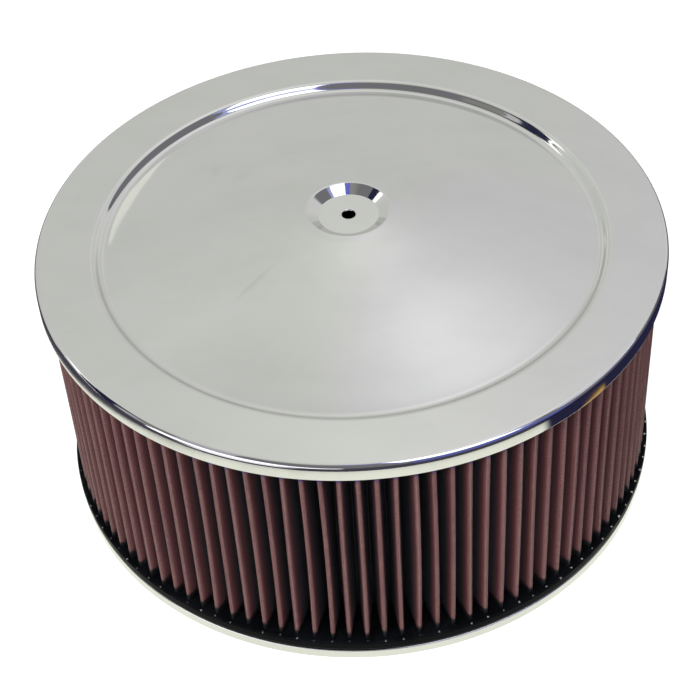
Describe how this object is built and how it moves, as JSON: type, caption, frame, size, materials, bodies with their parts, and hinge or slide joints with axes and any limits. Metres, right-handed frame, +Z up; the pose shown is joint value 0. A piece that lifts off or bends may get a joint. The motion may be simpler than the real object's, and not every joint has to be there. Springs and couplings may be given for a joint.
{
  "type": "carburetor air cleaner",
  "caption": "Round open-element carburettor air cleaner: chrome lid with a centre dish, pleated oiled filter ring with moulded end seals, drop base with neck gasket.",
  "frame": {"origin": "on the cleaner's axis, in the plane of the base rim's lower edge that it stands on", "axes": "+Z up along the stud axis from the base to the lid; the object is turned about Z, so X and Y are free"},
  "size_m": [0.3556, 0.3556, 0.1775],
  "materials": {
    "lid_chrome": "bright chrome plate on pressed steel, faint polishing haze",
    "base_chrome": "bright chrome plate on pressed steel",
    "oiled_gauze": "red-brown oiled cotton gauze under fine wire screen",
    "urethane": "black moulded urethane, satin, small mould flecks",
    "gasket_rubber": "dull black flat gasket"
  },
  "bodies": {
    "root": {"top_lid": "lid_chrome", "base_plate": "base_chrome", "pleated_media": "oiled_gauze", "top_seal": "urethane", "bottom_seal": "urethane", "neck_gasket": "gasket_rubber"}
  },
  "joints": []
}
